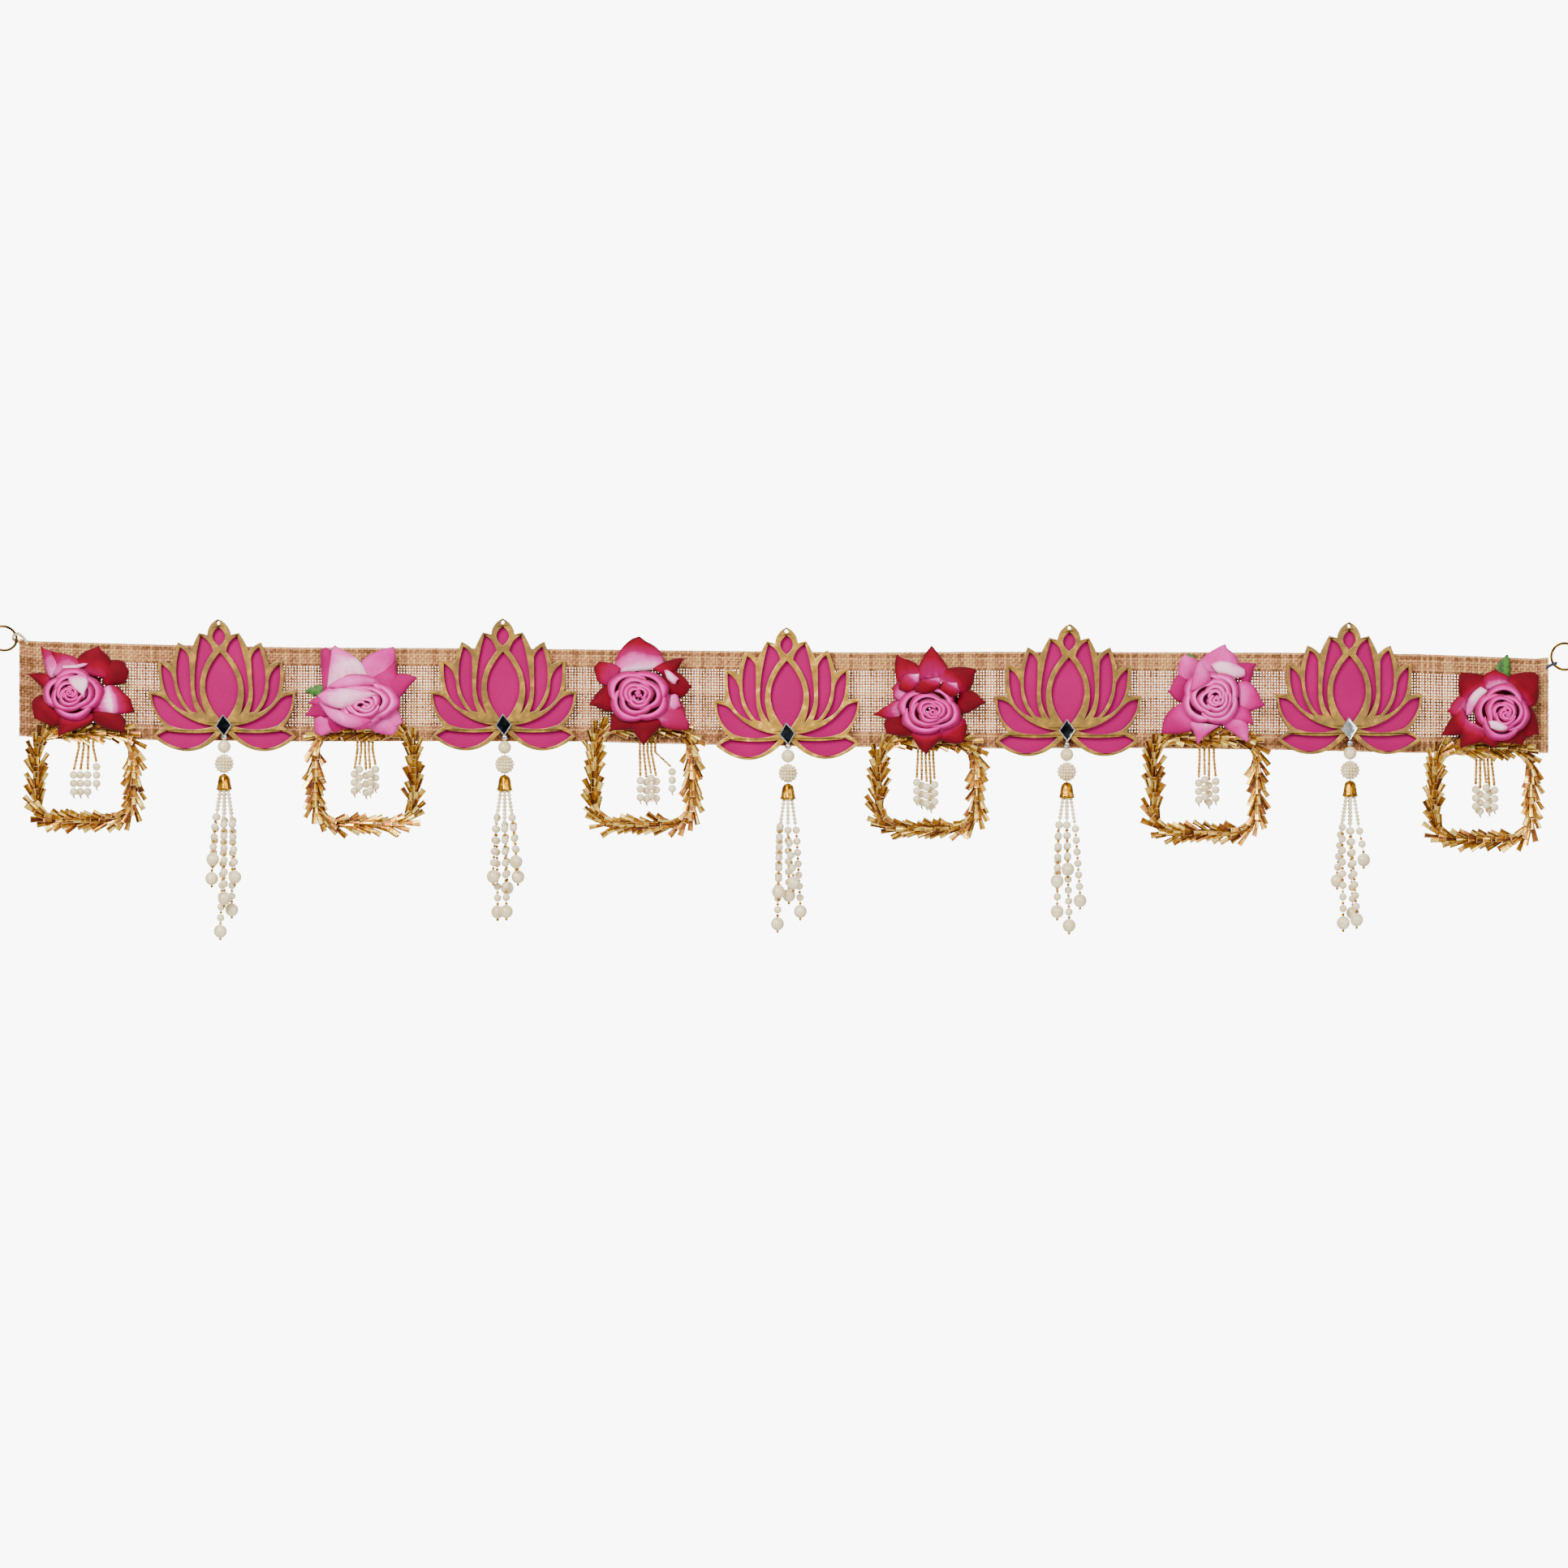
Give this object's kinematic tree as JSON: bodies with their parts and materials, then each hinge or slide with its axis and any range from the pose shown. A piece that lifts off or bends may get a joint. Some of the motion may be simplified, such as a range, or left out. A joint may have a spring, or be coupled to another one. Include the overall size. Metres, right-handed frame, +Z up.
{
  "type": "toran door hanging with corner hanging rings",
  "caption": "Jute strip door hanging with cut-out lotus plaques, cloth roses, gold foil squares, pearl sprays and bead tassels, and a wire ring at each top corner.",
  "frame": {"origin": "middle of the jute strip's top edge, on the plane of the strip's back", "axes": "+X along the door head from the left ring to the right ring, +Z up, decorated side facing -Y"},
  "size_m": [1.003, 0.0296, 0.2031],
  "materials": {
    "jute weave": "open plain weave of natural jute with folded, stitched hems",
    "antique brass wire": "bent round wire, dull golden brown",
    "cotton thread": "twisted sewing thread",
    "pink enamelled board": "thin cut board, glossy magenta pink",
    "gold painted board": "thin cut board, satin antique gold with burnt edges",
    "mirror lozenge": "small bevelled mirror with a silver rim",
    "cream pearl": "pearl coating, soft sheen",
    "cap and bead gold": "bright gold plating on caps and spacer beads, pearls between them",
    "crimson velvet petals": "velvet ribbon, crimson to pale base",
    "pink satin petals": "rolled satin ribbon with pale lips",
    "green satin leaf": "folded satin ribbon",
    "gold foil leaves": "crumpled metallic gold foil on cloth, pale pink cut edges"
  },
  "bodies": {
    "root": {"jute_band": "jute weave", "ring_left": "antique brass wire", "thread_left": "cotton thread", "ring_right": "antique brass wire", "thread_right": "cotton thread", "lotus_1_plate": "pink enamelled board", "lotus_1_frame": "gold painted board", "lotus_1_gem": "mirror lozenge", "drop_1": "cream pearl", "tassel_1": "cap and bead gold", "lotus_2_plate": "pink enamelled board", "lotus_2_frame": "gold painted board", "lotus_2_gem": "mirror lozenge", "drop_2": "cream pearl", "tassel_2": "cap and bead gold", "lotus_3_plate": "pink enamelled board", "lotus_3_frame": "gold painted board", "lotus_3_gem": "mirror lozenge", "drop_3": "cream pearl", "tassel_3": "cap and bead gold", "lotus_4_plate": "pink enamelled board", "lotus_4_frame": "gold painted board", "lotus_4_gem": "mirror lozenge", "drop_4": "cream pearl", "tassel_4": "cap and bead gold", "lotus_5_plate": "pink enamelled board", "lotus_5_frame": "gold painted board", "lotus_5_gem": "mirror lozenge", "drop_5": "cream pearl", "tassel_5": "cap and bead gold", "rose_1_petals": "crimson velvet petals", "rose_1_bloom": "pink satin petals", "foil_1": "gold foil leaves", "pearls_1": "cream pearl", "rose_2_petals": "crimson velvet petals", "rose_2_bloom": "pink satin petals", "foil_2": "gold foil leaves", "pearls_2": "cream pearl", "rose_3_petals": "crimson velvet petals", "rose_3_bloom": "pink satin petals", "foil_3": "gold foil leaves", "pearls_3": "cream pearl", "rose_4_petals": "crimson velvet petals", "rose_4_bloom": "pink satin petals", "foil_4": "gold foil leaves", "pearls_4": "cream pearl", "rose_5_petals": "crimson velvet petals", "rose_5_bloom": "pink satin petals", "foil_5": "gold foil leaves", "pearls_5": "cream pearl", "rose_6_petals": "crimson velvet petals", "rose_6_bloom": "pink satin petals", "foil_6": "gold foil leaves", "pearls_6": "cream pearl", "leaf_2": "green satin leaf", "leaf_5": "green satin leaf", "leaf_6": "green satin leaf"}
  },
  "joints": []
}
